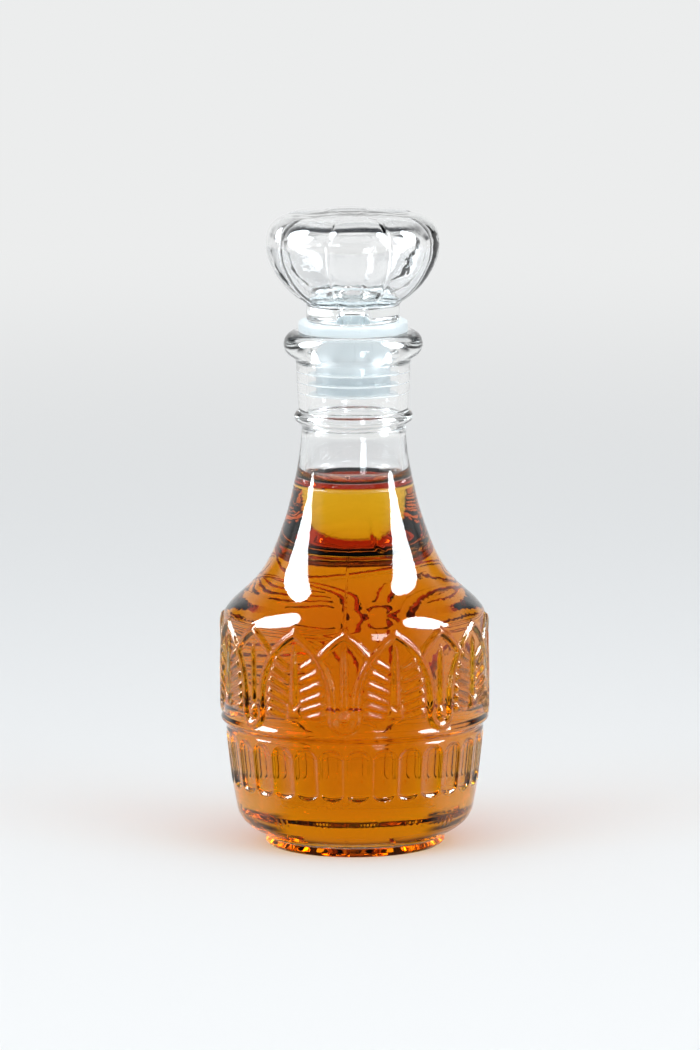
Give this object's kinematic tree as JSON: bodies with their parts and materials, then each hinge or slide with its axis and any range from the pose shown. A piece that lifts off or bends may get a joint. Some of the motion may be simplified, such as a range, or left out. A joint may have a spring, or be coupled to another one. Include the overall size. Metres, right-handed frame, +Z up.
{
  "type": "glass oil bottle",
  "caption": "Table bottle of clear pressed glass for oil, with an arcaded and fluted body, a slim neck and a lobed hollow glass stopper on a finned plastic plug that lifts out.",
  "frame": {"origin": "middle of the ring that the bottle stands on, on the table plane", "axes": "+Z up along the bottle's axis, -Y towards the front mould seam and its spire, +X to the right of the front"},
  "size_m": [0.0756, 0.0756, 0.1778],
  "materials": {
    "clear_glass": "gloss",
    "amber_oil": "gloss",
    "translucent_plastic": "satin",
    "stopper_glass": "gloss"
  },
  "bodies": {
    "bottle": {"bottle": "clear_glass", "oil": "amber_oil"},
    "stopper": {"stopper_plug": "translucent_plastic", "stopper_knob": "stopper_glass"}
  },
  "joints": [
    {"name": "stopper_lift", "type": "slide", "parent": "bottle", "child": "stopper", "axis": [0, 0, 1], "range_m": [0, 0.05]}
  ]
}
